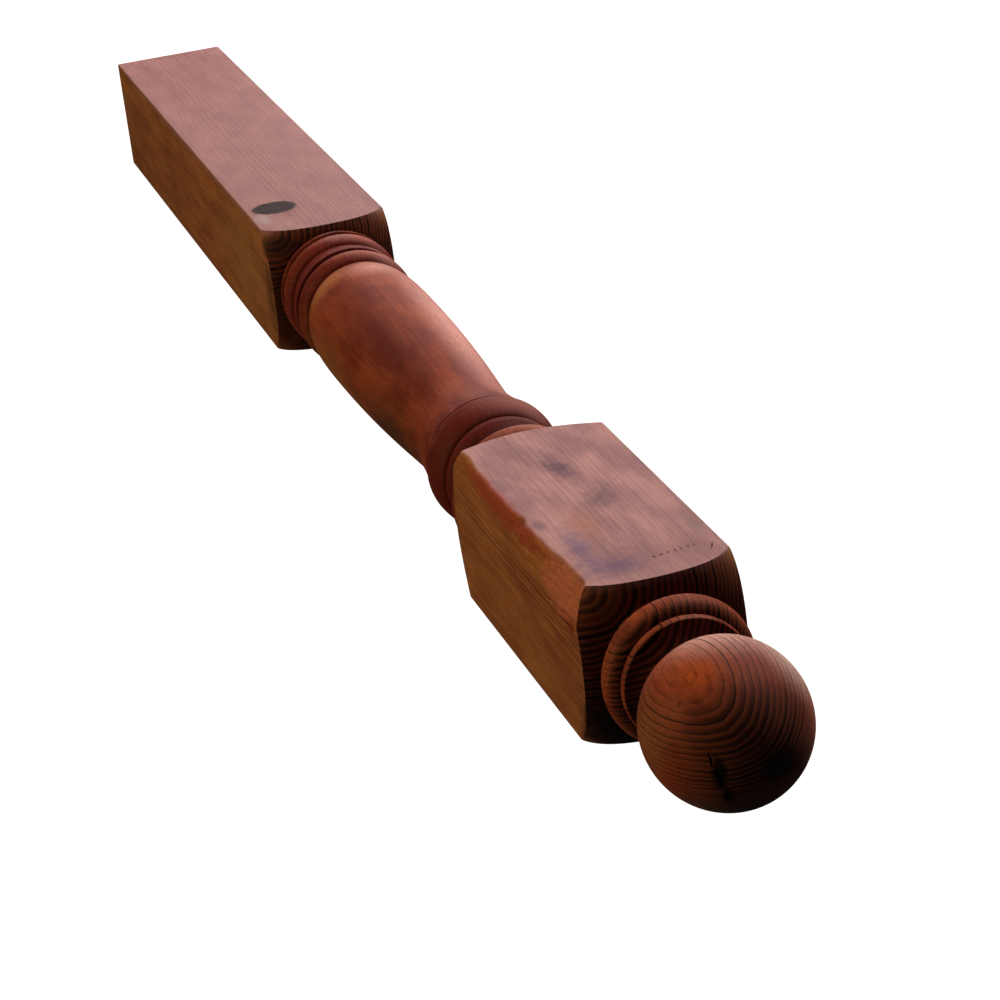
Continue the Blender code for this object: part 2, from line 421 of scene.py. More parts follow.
@dataclass(frozen=True)
class MiddleRings:
    """The bead under the upper block, the hollow, the thin ring and the wide bead."""

    fillet_radius: float = 0.037
    fillet_length: float = 0.0030
    block_bead_radius: float = 0.0421
    block_bead_length: float = 0.0150
    hollow_radius: float = 0.031
    hollow_length: float = 0.0232
    ring_radius: float = 0.0359
    ring_length: float = 0.0050
    wide_start: float = 0.0345
    wide_radius: float = 0.0406
    wide_end: float = 0.0381
    wide_rise: float = 0.0183
    wide_fall: float = 0.0060
    groove_length: float = 0.0030
    groove_depth: float = 0.0007

    def draw(self, outline: Outline) -> None:
        """Draws the rings, down to the vase.

        Args:
            outline: The outline, at the end of the upper block's chamfer.
        """
        outline.cylinder(self.fillet_radius, self.fillet_length)
        half = self.block_bead_length / 2.0
        outline.swell(self.fillet_radius, self.block_bead_radius, self.fillet_radius, half, half)
        outline.hollow(self.fillet_radius, self.hollow_radius, self.ring_radius, self.hollow_length)
        outline.cylinder(self.ring_radius, self.ring_length)
        outline.groove(self.wide_start, self.groove_length, self.groove_depth)
        outline.swell(self.wide_start, self.wide_radius, self.wide_end, self.wide_rise, self.wide_fall)
        outline.groove(self.wide_end, self.groove_length, self.groove_depth)


@dataclass(frozen=True)
class Vase:
    """The long vase: a flared top, a thin neck, a slow swell and a rounded full end.

    Each stretch is a curve, with its length, where its middle two pulls stand along it, and its steps.
    """

    top_radius: float = 0.0386
    neck_radius: float = 0.03375
    full_radius: float = 0.04145
    end_radius: float = 0.0365
    end_rounding: float = 0.2
    flare_length: float = 0.0490
    flare_pulls: Point = (0.33, 0.70)
    flare_steps: int = 14
    swell_length: float = 0.1960
    swell_pulls: Point = (0.10, 0.42)
    swell_steps: int = 36
    end_length: float = 0.0540
    end_pulls: Point = (0.47, 0.88)
    end_steps: int = 26

    def draw(self, outline: Outline) -> None:
        """Draws the vase, down to the light bead's groove.

        Args:
            outline: The outline, at the end of the wide bead's groove.
        """
        flare = (self.top_radius + self.neck_radius) / 2.0
        rounding = self.full_radius - (self.full_radius - self.end_radius) * self.end_rounding
        neck = self.neck_radius
        full = self.full_radius
        stretches = (
            ((self.top_radius, flare, neck, neck), self.flare_pulls, self.flare_length, self.flare_steps),
            ((neck, neck, full, full), self.swell_pulls, self.swell_length, self.swell_steps),
            ((full, full, rounding, self.end_radius), self.end_pulls, self.end_length, self.end_steps),
        )
        for radii, pulls, length, steps in stretches:
            outline.curve(radii, pulls, length, steps)


@dataclass(frozen=True)
class LowerRings:
    """The light bead, the small ring, the lower bead and the thin collar behind it."""

    light_root: float = 0.03575
    light_radius: float = 0.0413
    light_length: float = 0.0175
    small_radius: float = 0.0403
    small_length: float = 0.0075
    cove_radius: float = 0.037
    cove_length: float = 0.0118
    bead_radius: float = 0.042
    bead_length: float = 0.0170
    collar_radius: float = 0.0413
    collar_length: float = 0.0020
    neck_length: float = 0.0076
    groove_length: float = 0.0030
    groove_depth: float = 0.0015

    def draw(self, outline: Outline) -> None:
        """Draws the rings, down to the lower block's shoulder.

        Args:
            outline: The outline, at the end of the vase.
        """
        outline.groove(self.light_root, self.groove_length, self.groove_depth)
        half = self.light_length / 2.0
        outline.swell(self.light_root, self.light_radius, self.light_root, half, half)
        outline.groove(self.light_root, self.groove_length, self.groove_depth)
        outline.cylinder(self.small_radius, self.small_length)
        outline.cylinder(self.cove_radius, self.cove_length)
        half = self.bead_length / 2.0
        outline.swell(self.cove_radius, self.bead_radius, self.cove_radius, half, half)
        outline.groove(self.cove_radius, self.groove_length, self.groove_depth)
        outline.cylinder(self.collar_radius, self.collar_length)
        outline.cylinder(self.cove_radius, self.neck_length)


@dataclass(frozen=True)
class WornArris:
    """The arris of the upper block that looks to +X and -Y, worn round by handling.

    Attributes:
        stations: At each height, how far the wear reaches across the face that looks to -Y, how far
            across the face that looks to +X, and how deep the old corner is rubbed away.
        lean: How far its deepest point lies round towards +X, as a share of that depth.
    """

    stations: tuple[tuple[float, float, float, float], ...] = (
        (1.000, 0.0015, 0.0015, 0.0000),
        (1.020, 0.0060, 0.0080, 0.0030),
        (1.036, 0.0080, 0.0150, 0.0045),
        (1.060, 0.0060, 0.0110, 0.0030),
        (1.095, 0.0055, 0.0090, 0.0025),
        (1.125, 0.0065, 0.0100, 0.0032),
        (1.136, 0.0095, 0.0120, 0.0052),
        (1.146, 0.0070, 0.0110, 0.0034),
        (1.175, 0.0085, 0.0170, 0.0042),
        (1.205, 0.0105, 0.0260, 0.0060),
        (1.228, 0.0110, 0.0310, 0.0072),
        (1.238, 0.0080, 0.0200, 0.0050),
        (1.250, 0.0015, 0.0015, 0.0000),
    )
    lean: float = 0.2

    def at(self, height: float) -> Place:
        """Looks up the wear at a height.

        Args:
            height: Height up the post.

        Returns:
            Reach across the -Y face, reach across the +X face, and depth.
        """
        if height <= self.stations[0][0]:
            return self.stations[0][1:]
        for low, high in zip(self.stations, self.stations[1:]):
            if height <= high[0]:
                part = (height - low[0]) / (high[0] - low[0])
                part = part * part * (3.0 - 2.0 * part)
                return tuple(a + (b - a) * part for a, b in zip(low[1:], high[1:]))
        return self.stations[-1][1:]


@dataclass(frozen=True)
class Timber:
    """The square timber that the post is turned from, with eased arrises.

    Attributes:
        side: Its width.
        ease: How far three of its arrises are eased.
        ease_steps: Steps in that easing.
        worn: The worn arris.
        worn_reach: How far the bevel reaches that is then worn to shape.
        worn_steps: Steps in that bevel.
        station_gap: How closely the worn arris is cut across.
    """

    side: float = 0.089
    ease: float = 0.0015
    ease_steps: int = 4
    worn: WornArris = WornArris()
    worn_reach: float = 0.0115
    worn_steps: int = 12
    station_gap: float = 0.0025

    def build(self, height: float) -> bpy.types.Object:
        """Makes the timber as a solid to cut the turning with.

        Args:
            height: The timber's length above the ground.

        Returns:
            The timber's object.
        """
        deselect_all()
        bpy.ops.mesh.primitive_cube_add(size=self.side, location=(0.0, 0.0, self.side / 2.0))
        timber = bpy.context.object
        timber.name = "square_timber"
        bpy.ops.object.transform_apply(location=True, rotation=True, scale=True)
        mesh = timber.data
        pick(mesh, [v.index for v in mesh.vertices if v.co.z > self.side / 2.0], "VERT")
        bpy.ops.transform.translate(value=(0.0, 0.0, height - self.side))
        bpy.ops.object.mode_set(mode="OBJECT")

        self._bevel(mesh, False, self.ease, self.ease_steps)
        self._bevel(mesh, True, self.worn_reach, self.worn_steps)
        self._cut_stations(mesh)
        self._wear(mesh)
        return timber

    def _bevel(self, mesh: bpy.types.Mesh, worn: bool, reach: float, steps: int) -> None:
        """Bevels the worn arris alone, or the other three.

        Args:
            mesh: The timber's mesh.
            worn: Whether to bevel the worn arris.
            reach: How far the bevel reaches across each face.
            steps: How many steps to draw it in.
        """
        half = self.side / 2.0
        wanted = []
        for edge in mesh.edges:
            a, b = (mesh.vertices[index].co for index in edge.vertices)
            upright = abs(a.z - b.z) > self.side and abs(a.x - b.x) + abs(a.y - b.y) < MERGE_DISTANCE
            at_corner = abs(abs(a.x) - half) + abs(abs(a.y) - half) < MERGE_DISTANCE
            if upright and at_corner and (a.x > 0.0 and a.y < 0.0) == worn:
                wanted.append(edge.index)
        pick(mesh, wanted, "EDGE")
        bpy.ops.mesh.bevel(offset=reach, segments=steps, affect="EDGES")
        bpy.ops.object.mode_set(mode="OBJECT")

    def _cut_stations(self, mesh: bpy.types.Mesh) -> None:
        """Cuts the timber across at close steps along the worn arris.

        Args:
            mesh: The timber's mesh, the active one; not used, since the cuts act on the active object.
        """
        low = self.worn.stations[0][0]
        high = self.worn.stations[-1][0]
        count = round((high - low) / self.station_gap)
        bpy.ops.object.mode_set(mode="EDIT")
        for step in range(count + 1):
            bpy.ops.mesh.select_all(action="SELECT")
            place = (0.0, 0.0, low + (high - low) * step / count)
            bpy.ops.mesh.bisect(plane_co=place, plane_no=(0.0, 0.0, 1.0))
        bpy.ops.object.mode_set(mode="OBJECT")

    def _wear(self, mesh: bpy.types.Mesh) -> None:
        """Moves the points of the worn arris to its section at each height.

        Args:
            mesh: The timber's mesh.
        """
        half = self.side / 2.0
        centre = half - self.worn_reach
        for vertex in mesh.vertices:
            across = vertex.co.x - centre
            up = -vertex.co.y - centre
            if min(across, up) < -MERGE_DISTANCE:
                continue
            turn = math.atan2(max(across, 0.0), max(up, 0.0)) / QUARTER_TURN
            top_reach, side_reach, depth = self.worn.at(vertex.co.z)
            start = Vector((half - top_reach, -half))
            end = Vector((half, side_reach - half))
            pull = Vector((half - depth, depth * self.worn.lean - half))
            place = start * (1 - turn) ** 2 + pull * 2 * turn * (1 - turn) + end * turn ** 2
            vertex.co.x = place.x
            vertex.co.y = place.y


@dataclass(frozen=True)
class Nick:
    """A small split or tear: a thin lens cut into the surface.

    Attributes:
        place: Its middle, in metres.
        reach: Half its size across, into and along, in metres.
        turn: How far it is turned about X, Y and Z, in degrees.
        segments: Faces round the lens.
        rows: Faces along it.
        taper: How much narrower its ends are, as a share.
        taper_bend: The power that keeps its middle full.
    """

    place: Place
    reach: Place
    turn: Place = (0.0, 0.0, 0.0)
    segments: int = 10
    rows: int = 8
    taper: float = 0.6
    taper_bend: float = 1.5

    def build(self) -> bpy.types.Object:
        """Makes the lens to cut with, pointed at both ends.

        Returns:
            The cutter.
        """
        deselect_all()
        bpy.ops.mesh.primitive_uv_sphere_add(segments=self.segments, ring_count=self.rows, radius=1.0)
        lens = bpy.context.object
        for vertex in lens.data.vertices:
            vertex.co.x *= 1.0 - abs(vertex.co.z) ** self.taper_bend * self.taper
        lens.scale = self.reach
        lens.rotation_euler = tuple(math.radians(angle) for angle in self.turn)
        lens.location = self.place
        bpy.ops.object.transform_apply(location=True, rotation=True, scale=True)
        return lens


POST_NICKS = (
    # The drying check on the ball, in three short runs
    Nick((0.0222, -0.0045, 1.3660), (0.0009, 0.0046, 0.0045), (-12.0, 0.0, 6.0)),
    Nick((0.0192, 0.0058, 1.3665), (0.0014, 0.0052, 0.0045), (10.0, 0.0, 20.0)),
    Nick((0.0155, 0.0168, 1.3640), (0.0011, 0.0048, 0.0040), (18.0, 0.0, 10.0)),
    # The crack at the end of the upper block and the row of torn nicks beside it
    Nick((-0.0365, -0.0445, 1.2215), (0.0006, 0.0010, 0.0045), (0.0, 24.0, 0.0)),
    Nick((-0.0060, -0.0445, 1.2195), (0.0011, 0.0006, 0.0017), (0.0, 20.0, 0.0)),
    Nick((-0.0100, -0.0445, 1.2190), (0.0012, 0.0006, 0.0021), (0.0, 28.0, 0.0)),
    Nick((-0.0140, -0.0445, 1.2180), (0.0009, 0.0006, 0.0019), (0.0, 16.0, 0.0)),
    Nick((-0.0180, -0.0445, 1.2175), (0.0008, 0.0005, 0.0024), (0.0, 10.0, 0.0)),
    Nick((-0.0215, -0.0445, 1.2165), (0.0006, 0.0005, 0.0026), (0.0, 12.0, 0.0)),
    Nick((-0.0255, -0.0445, 1.2160), (0.0006, 0.0005, 0.0024), (0.0, 8.0, 0.0)),
    Nick((-0.0290, -0.0445, 1.2155), (0.0005, 0.0004, 0.0020), (0.0, 6.0, 0.0)),
    # The chip beside the worn arris
    Nick((0.0390, -0.0440, 1.1370), (0.0032, 0.0014, 0.0034), (0.0, 35.0, 45.0)),
)


@dataclass(frozen=True)
class StainOrPaintedLight:
    """One mark laid on the wood's colour, either a stain in the wood or painted light or shade: where it
    lies, how far it reaches, its colour and strength.

    Places and reaches are millimetres.
    """

    place: Place
    reach: Place
    colour: str
    strength: float
    edge: Edge = Edge.CLOUD

    def lay(self, tree: Tree, wood: Source, shift: Source, colour: Source) -> Source:
        """Lays the mark over the colour so far, with a ragged edge.

        Args:
            tree: The node tree.
            wood: Object coordinates in millimetres.
            shift: A rough pattern round zero, which pushes the mark's edge in and out.
            colour: The colour so far.

        Returns:
            The colour with the mark on it.
        """
        whole, ragged_share = self.edge.value
        push = tuple(reach * ragged_share for reach in self.reach)
        moved = add_node(tree, Kind.VECTOR, {0: shift, 1: push, 2: wood}, operation="MULTIPLY_ADD")
        off = add_node(tree, Kind.VECTOR, {0: moved, 1: self.place}, operation="SUBTRACT")
        share = add_node(tree, Kind.VECTOR, {0: off, 1: self.reach}, operation="DIVIDE")
        far = add_node(tree, Kind.VECTOR, {0: share}, operation="LENGTH").outputs["Value"]
        mask = add_node(tree, Kind.RANGE,
                        {"Value": far, "From Min": 1.0, "From Max": whole, "To Min": 0.0,
                         "To Max": self.strength},
                        interpolation_type="SMOOTHSTEP")
        return add_node(tree, Kind.MIX, {SHARE: mask, COLOUR_A: colour, COLOUR_B: linear(self.colour)},
                        data_type="RGBA").outputs[MIXED_COLOUR]


@dataclass(frozen=True)
class GrowthRings:
    """Growth rings round the pith, which runs up the timber, leans towards the ball and wanders.

    Attributes:
        pith_at_ball: Where the pith is at the ball's middle, in millimetres.
        pith_at_block: Where it is below the ball.
        lean: The heights between which it leans over, in millimetres.
        wanders: Slow drift, ring waviness, fibre jitter and tremble: for each, the pattern's size
            across and along and how far it moves a ring, in millimetres.
        wander_detail: How much finer variation those patterns carry.
        stretch: How much closer distances count along X than along Y, which sets the rings wider there.
        squareness: The power of the rings' shape, 2 for round.
        start: How far through its ring the pith is.
        rate: Rings in a millimetre, away from the heart.
        rise: How much that grows with each millimetre.
        heart_reach: How far the heart reaches from the pith, in millimetres.
        heart_rate: Rings in a millimetre within the heart.
        heart_rings: Rings that the heart is ahead by at its edge.
    """

    pith_at_ball: Point = (32.0, -46.0)
    pith_at_block: Point = (42.5, -46.0)
    lean: Point = (1235.0, 1340.0)
    wanders: tuple[Place, ...] = ((70.0, 300.0, 4.0), (16.0, 120.0, 1.9), (5.0, 16.0, 1.1), (2.0, 9.0, 0.3))
    wander_detail: float = 1.0
    stretch: float = 0.88
    squareness: float = 2.5
    start: float = 0.27
    rate: float = 0.105
    rise: float = 0.0027
    heart_reach: float = 27.2
    heart_rate: float = 0.252
    heart_rings: float = 2.0

    def measure(self, tree: Tree, wood: Source) -> tuple[Source, Source, Source]:
        """Works out which ring a point of the wood is in.

        Args:
            tree: The node tree.
            wood: Object coordinates in millimetres.

        Returns:
            How far through its ring the point is, the ring's number, and its distance from the pith.
        """
        radius = self._distance(tree, wood, self._wandered(tree, wood))
        rate = add_node(tree, Kind.MATH, {0: radius, 1: self.rise, 2: self.rate}, operation="MULTIPLY_ADD")
        count = add_node(tree, Kind.MATH, {0: radius, 1: rate, 2: self.start}, operation="MULTIPLY_ADD")
        # In the heart the rings keep one spacing, further out they draw closer
        count = add_node(tree, Kind.MATH, {0: count, 1: self.heart_rings}, operation="ADD")
        heart = add_node(tree, Kind.MATH, {0: radius, 1: self.heart_rate, 2: self.start},
                         operation="MULTIPLY_ADD")
        beyond = add_node(tree, Kind.MATH, {0: radius, 1: self.heart_reach}, operation="GREATER_THAN")
        count = add_node(tree, Kind.MIX, {SHARE: beyond, NUMBER_A: heart, NUMBER_B: count},
                         data_type="FLOAT")
        ring = add_node(tree, Kind.MATH, {0: count}, operation="FRACT")
        number = add_node(tree, Kind.MATH, {0: count}, operation="FLOOR")
        return ring, number, radius

    def _wandered(self, tree: Tree, wood: Source) -> Source:
        """Moves the wood about a little, so that no ring runs quite true.

        Args:
            tree: The node tree.
            wood: Object coordinates in millimetres.

        Returns:
            The moved coordinates.
        """
        place = wood
        for size, along, reach in self.wanders:
            scale = (1 / size, 1 / size, 1 / along)
            turn = add_node(tree, Kind.VECTOR, {0: wood, 1: scale}, operation="MULTIPLY")
            noise = add_node(tree, Kind.NOISE, {"Vector": turn, "Scale": 1.0, "Detail": self.wander_detail})
            shift = add_node(tree, Kind.VECTOR, {0: noise.outputs["Color"], 1: NOISE_MIDDLE},
                             operation="SUBTRACT")
            place = add_node(tree, Kind.VECTOR, {0: shift, 1: (reach, reach, 0.0), 2: place},
                             operation="MULTIPLY_ADD")
        return place

    def _distance(self, tree: Tree, wood: Source, place: Source) -> Source:
        """Measures from the pith, in rings that are a little square and wider along X.

        Args:
            tree: The node tree.
            wood: Object coordinates in millimetres.
            place: The same, moved about.

        Returns:
            Distance from the pith in millimetres.
        """
        level = add_node(tree, Kind.SPLIT, {0: wood}).outputs["Z"]
        ends = {FROM_LOW: (self.lean[0],) * 3, FROM_HIGH: (self.lean[1],) * 3,
                TO_LOW: (*self.pith_at_block, 0.0), TO_HIGH: (*self.pith_at_ball, 0.0)}
        pith = add_node(tree, Kind.RANGE, {"Vector": level, **ends}, data_type="FLOAT_VECTOR")
        off = add_node(tree, Kind.VECTOR, {0: place, 1: pith.outputs["Vector"]}, operation="SUBTRACT")
        shape = add_node(tree, Kind.VECTOR, {0: off, 1: (self.stretch, 1.0, 0.0)}, operation="MULTIPLY")
        size = add_node(tree, Kind.VECTOR, {0: shape}, operation="ABSOLUTE")
        parts = add_node(tree, Kind.SPLIT, {0: size})
        across = add_node(tree, Kind.MATH, {0: parts, 1: self.squareness}, operation="POWER")
        deep = add_node(tree, Kind.MATH, {0: parts.outputs["Y"], 1: self.squareness}, operation="POWER")
        both = add_node(tree, Kind.MATH, {0: across, 1: deep}, operation="ADD")
        return add_node(tree, Kind.MATH, {0: both, 1: 1.0 / self.squareness}, operation="POWER")


@dataclass(frozen=True)
class LateWood:
    """The dark line that ends each ring: a slow start, a sharp stop, faint near the pith.

    Attributes:
        start: Where in the ring the line starts and where it is whole.
        faintest: The share of its darkness that it keeps at the pith.
        haze: Where the ring starts to darken before the line, and how dark it is by its end.
        stop: Where the line starts to end.
        palest: The share of its darkness that the palest ring has.
        pith_zone: How far from the pith lines are faintest, and how far they are whole, in millimetres.
    """

    start: Point
    faintest: float
    haze: Point = (0.05, 0.24)
    stop: float = 0.95
    palest: float = 0.45
    pith_zone: Point = (14.0, 27.0)

    def darkness(self, tree: Tree, ring: Source, number: Source, radius: Source) -> Source:
        """Works out how dark the line is.

        Args:
            tree: The node tree.
            ring: How far through its ring a point is.
            number: The ring's number.
            radius: Distance from the pith.

        Returns:
            The line's darkness, from none to whole.
        """
        rise = add_node(tree, Kind.RANGE, {"Value": ring, "From Min": self.start[0],
                                           "From Max": self.start[1]}, interpolation_type="SMOOTHSTEP")
        haze = add_node(tree, Kind.RANGE, {"Value": ring, "From Min": self.haze[0], "From Max": self.stop,
                                           "To Max": self.haze[1]})
        stop = add_node(tree, Kind.RANGE, {"Value": ring, "From Min": self.stop, "From Max": 1.0,
                                           "To Min": 1.0, "To Max": 0.0}, interpolation_type="SMOOTHSTEP")
        own = add_node(tree, Kind.DICE, {"W": number}, noise_dimensions="1D")
        share = add_node(tree, Kind.RANGE, {"Value": own, "To Min": self.palest, "To Max": 1.0})
        grown = add_node(tree, Kind.RANGE, {"Value": radius, "From Min": self.pith_zone[0],
                                            "From Max": self.pith_zone[1], "To Min": self.faintest,
                                            "To Max": 1.0})
        line = add_node(tree, Kind.MATH, {0: rise, 1: haze}, operation="MAXIMUM")
        for part in (stop, share, grown):
            line = add_node(tree, Kind.MATH, {0: line, 1: part}, operation="MULTIPLY")
        return line


@dataclass(frozen=True)
class RedwoodFinish:
    """Redwood, turned, planed and sanded, with a thin penetrating oil, a little weathered.

    Real redwood gives the eye a pink-brown early wood with thin dark late-wood lines, straight fine
    fibres along the faces, near-black end grain, and a soft sheen rather than a gloss. Heights and
    pattern sizes are millimetres.
    """

    # Marks laid under the ring lines: tints, and painted highlights on the rims that face the lights
    tints_and_highlights: tuple[StainOrPaintedLight, ...] = ()
    # Marks laid over them: stains, and painted shade in hollows and on the sides turned from the lights
    stains_and_shade: tuple[StainOrPaintedLight, ...] = ()
    rings: GrowthRings = GrowthRings()
    lines: LateWood = LateWood(start=(0.73, 0.89), faintest=0.22)
    # On end grain the dark lines have soaked up oil and look far wider
    end_lines: LateWood = LateWood(start=(0.14, 0.62), faintest=0.90)

    turned_light: str = "#A24E2A"
    turned_dark: str = "#772C1A"
    planed_light: str = "#B27440"
    planed_dark: str = "#8E522A"
    weathered_light: str = "#BD8F88"
    weathered_dark: str = "#987071"
    late: str = "#0C0302"
    end_early: str = "#74381F"
    end_late: str = "#040202"

    # How clearly ring lines show on each kind of surface, and the heights where vase turns to ball
    ball_lines: float = 1.0
    vase_lines: float = 0.28
    planed_lines: float = 0.85
    weathered_lines: float = 0.32
    lines_fade: Point = (1060.0, 1220.0)

    # The slope where end grain starts and where it is whole
    end_slope: Point = (0.35, 0.9)
    # How fully fine sanding hides it between the blocks, and the heights where it shows and is hidden
    hidden_share: float = 0.85
    hidden_foot: Point = (562.0, 574.0)
    hidden_top: Point = (1060.0, 1024.0)

    # Only the square blocks reach this far along X or Y, or along both together: first and whole
    face_reach: Point = (43.2, 44.3)
    corner_reach: Point = (62.0, 68.0)

    # Fibres 0.5 mm across and 20 mm long, clouds and streaks by their size across and along
    fibre_scale: Place = (1.9, 1.9, 0.05)
    fibre_detail: float = 3.0
    clouds: Point = (16.0, 44.0)
    streaks: Point = (2.5, 110.0)
    cloud_detail: float = 4.0
    cloud_range: Point = (0.34, 0.66)
    # The streaks' share on turned and on planed wood, and what weathering takes from it
    streak_share: Point = (0.24, 0.48)
    weathered_streaks: float = -0.32
    # How dark and how light the fibres make the wood
    grit_range: Point = (0.3, 0.7)
    grit_lowest: float = 0.64
    grit_lowest_weathered: float = 0.84
    grit_highest: float = 1.16
    # The rough pattern that makes the marks' edges ragged
    ragged_scale: float = 0.16
    ragged_detail: float = 3.0

    # The surface: ring lines a little sunk, a low bump in metres, and a soft uneven gloss
    line_depth: float = -0.6
    bump_strength: float = 0.5
    bump_height: float = 0.00014
    roughness: float = 0.62
    smoother: float = 0.07
    rougher: float = 0.09
    gloss_range: Point = (0.2, 0.8)
    refraction: float = 1.48
    specular: float = 0.14
    sheen: float = 0.12
    sheen_roughness: float = 0.42
    sheen_tint: str = "#FFB4A4"

    def material(self) -> bpy.types.Material:
        """Builds the node material.

        Returns:
            The redwood material.
        """
        material = bpy.data.materials.new("sanded_redwood")
        material.use_nodes = True
        tree = material.node_tree
        tree.nodes.clear()
        spot = add_node(tree, Kind.COORDINATES, {})
        # Object coordinates in millimetres, so that every pattern below has a real size
        wood = add_node(tree, Kind.VECTOR, {0: spot.outputs["Object"], "Scale": MILLIMETRES},
                        operation="SCALE")
        ring, number, radius = self.rings.measure(tree, wood)
        fibre = self._fibre(tree, wood)
        planed, weathered = self._faces(tree, wood)
        share = self._line_share(tree, wood, planed, weathered)
        late = self.lines.darkness(tree, ring, number, radius)
        late = add_node(tree, Kind.MATH, {0: late, 1: share}, operation="MULTIPLY")
        end_late = self.end_lines.darkness(tree, ring, number, radius)
        end_share = self._end_share(tree, wood, spot.outputs["Normal"])
        ragged = add_node(tree, Kind.NOISE,
                          {"Vector": wood, "Scale": self.ragged_scale, "Detail": self.ragged_detail})
        shift = add_node(tree, Kind.VECTOR, {0: ragged.outputs["Color"], 1: NOISE_MIDDLE},
                         operation="SUBTRACT")
        colour = self._early_wood(tree, wood, planed, weathered)
        # Tints and painted highlights belong to the early wood and lie under the ring lines; stains and
        # painted shade lie over them
        for tint_or_highlight in self.tints_and_highlights:
            colour = tint_or_highlight.lay(tree, wood, shift, colour)
        colour = self._grained(tree, colour, late, end_late, end_share)
        colour = self._gritty(tree, colour, fibre, weathered)
        for stain_or_shade in self.stains_and_shade:
            colour = stain_or_shade.lay(tree, wood, shift, colour)
        surface = self._surface(tree, colour, late, fibre)
        add_node(tree, Kind.SURFACE_OUT, {"Surface": surface})
        return material

    def _end_share(self, tree: Tree, wood: Source, normal: Source) -> Source:
        """Tells end grain from side grain, by how far the surface faces up the post.

        Args:
            tree: The node tree.
            wood: Object coordinates in millimetres.
            normal: The way the surface faces.

        Returns:
            The share of end grain.
        """
        facing = add_node(tree, Kind.SPLIT, {0: normal}).outputs["Z"]
        end = add_node(tree, Kind.RANGE,
                       {"Value": facing, "From Min": self.end_slope[0], "From Max": self.end_slope[1]},
                       interpolation_type="SMOOTHSTEP")
        # The middle and lower rings are sanded so fine that their end grain hardly shows
        level = add_node(tree, Kind.SPLIT, {0: wood}).outputs["Z"]
        bounds = [add_node(tree, Kind.RANGE, {"Value": level, "From Min": shown, "From Max": hidden,
                                              "To Max": -self.hidden_share})
                  for shown, hidden in (self.hidden_foot, self.hidden_top)]
        hidden = add_node(tree, Kind.MATH, {0: bounds[0], 1: bounds[1]}, operation="MAXIMUM")
        return add_node(tree, Kind.MATH, {0: end, 1: hidden, 2: end}, operation="MULTIPLY_ADD")

    def _fibre(self, tree: Tree, wood: Source) -> Source:
        """Draws the fine fibres.

        Args:
            tree: The node tree.
            wood: Object coordinates in millimetres.

        Returns:
            The fibres' height, about one half.
        """
        turn = add_node(tree, Kind.VECTOR, {0: wood, 1: self.fibre_scale}, operation="MULTIPLY")
        return add_node(tree, Kind.NOISE, {"Vector": turn, "Scale": 1.0, "Detail": self.fibre_detail})

    def _faces(self, tree: Tree, wood: Source) -> tuple[Source, Source]:
        """Tells the planed faces of the blocks, and the weathered one of them, from turned wood.

        Args:
            tree: The node tree.
            wood: Object coordinates in millimetres.

        Returns:
            The planed share and the weathered share.
        """
        sides = add_node(tree, Kind.VECTOR, {0: wood}, operation="ABSOLUTE")
        side = add_node(tree, Kind.SPLIT, {0: sides})
        depth = add_node(tree, Kind.SPLIT, {0: wood}).outputs["Y"]
        widest = add_node(tree, Kind.MATH, {0: side, 1: side.outputs["Y"]}, operation="MAXIMUM")
        along_both = add_node(tree, Kind.MATH, {0: side, 1: side.outputs["Y"]}, operation="ADD")
        low, high = self.face_reach
        face, corner, weathered = [
            add_node(tree, Kind.RANGE, {"Value": reach, "From Min": start, "From Max": whole},
                     interpolation_type="SMOOTHSTEP")
            for reach, start, whole in ((widest, low, high), (along_both, *self.corner_reach),
                                        (depth, -low, -high))
        ]
        planed = add_node(tree, Kind.MATH, {0: face, 1: corner}, operation="MAXIMUM")
        return planed, weathered

    def _line_share(self, tree: Tree, wood: Source, planed: Source, weathered: Source) -> Source:
        """Works out how clearly ring lines show: best on the ball, least on the vase and weathered wood.

        Args:
            tree: The node tree.
            wood: Object coordinates in millimetres.
            planed: The planed share.
            weathered: The weathered share.

        Returns:
            The share of their darkness that the lines keep.
        """
        level = add_node(tree, Kind.SPLIT, {0: wood}).outputs["Z"]
        turned = add_node(tree, Kind.RANGE,
                          {"Value": level, "From Min": self.lines_fade[0], "From Max": self.lines_fade[1],
                           "To Min": self.vase_lines, "To Max": self.ball_lines})
        share = add_node(tree, Kind.MIX, {SHARE: planed, NUMBER_A: turned, NUMBER_B: self.planed_lines},
                         data_type="FLOAT")
        return add_node(tree, Kind.MIX, {SHARE: weathered, NUMBER_A: share, NUMBER_B: self.weathered_lines},
                        data_type="FLOAT")

    def _early_wood(self, tree: Tree, wood: Source, planed: Source, weathered: Source) -> Source:
        """Draws the early wood's cloudy colour: turned, planed and weathered.

        Args:
            tree: The node tree.
            wood: Object coordinates in millimetres.
            planed: The planed share.
            weathered: The weathered share.

        Returns:
            The early wood's colour.
        """
        tones = []
        for size, along in (self.clouds, self.streaks):
            scale = (1 / size, 1 / size, 1 / along)
            turn = add_node(tree, Kind.VECTOR, {0: wood, 1: scale}, operation="MULTIPLY")
            noise = add_node(tree, Kind.NOISE, {"Vector": turn, "Scale": 1.0, "Detail": self.cloud_detail})
            tones.append(add_node(tree, Kind.RANGE,
                                  {"Value": noise, "From Min": self.cloud_range[0],
                                   "From Max": self.cloud_range[1]},
                                  interpolation_type="SMOOTHSTEP"))
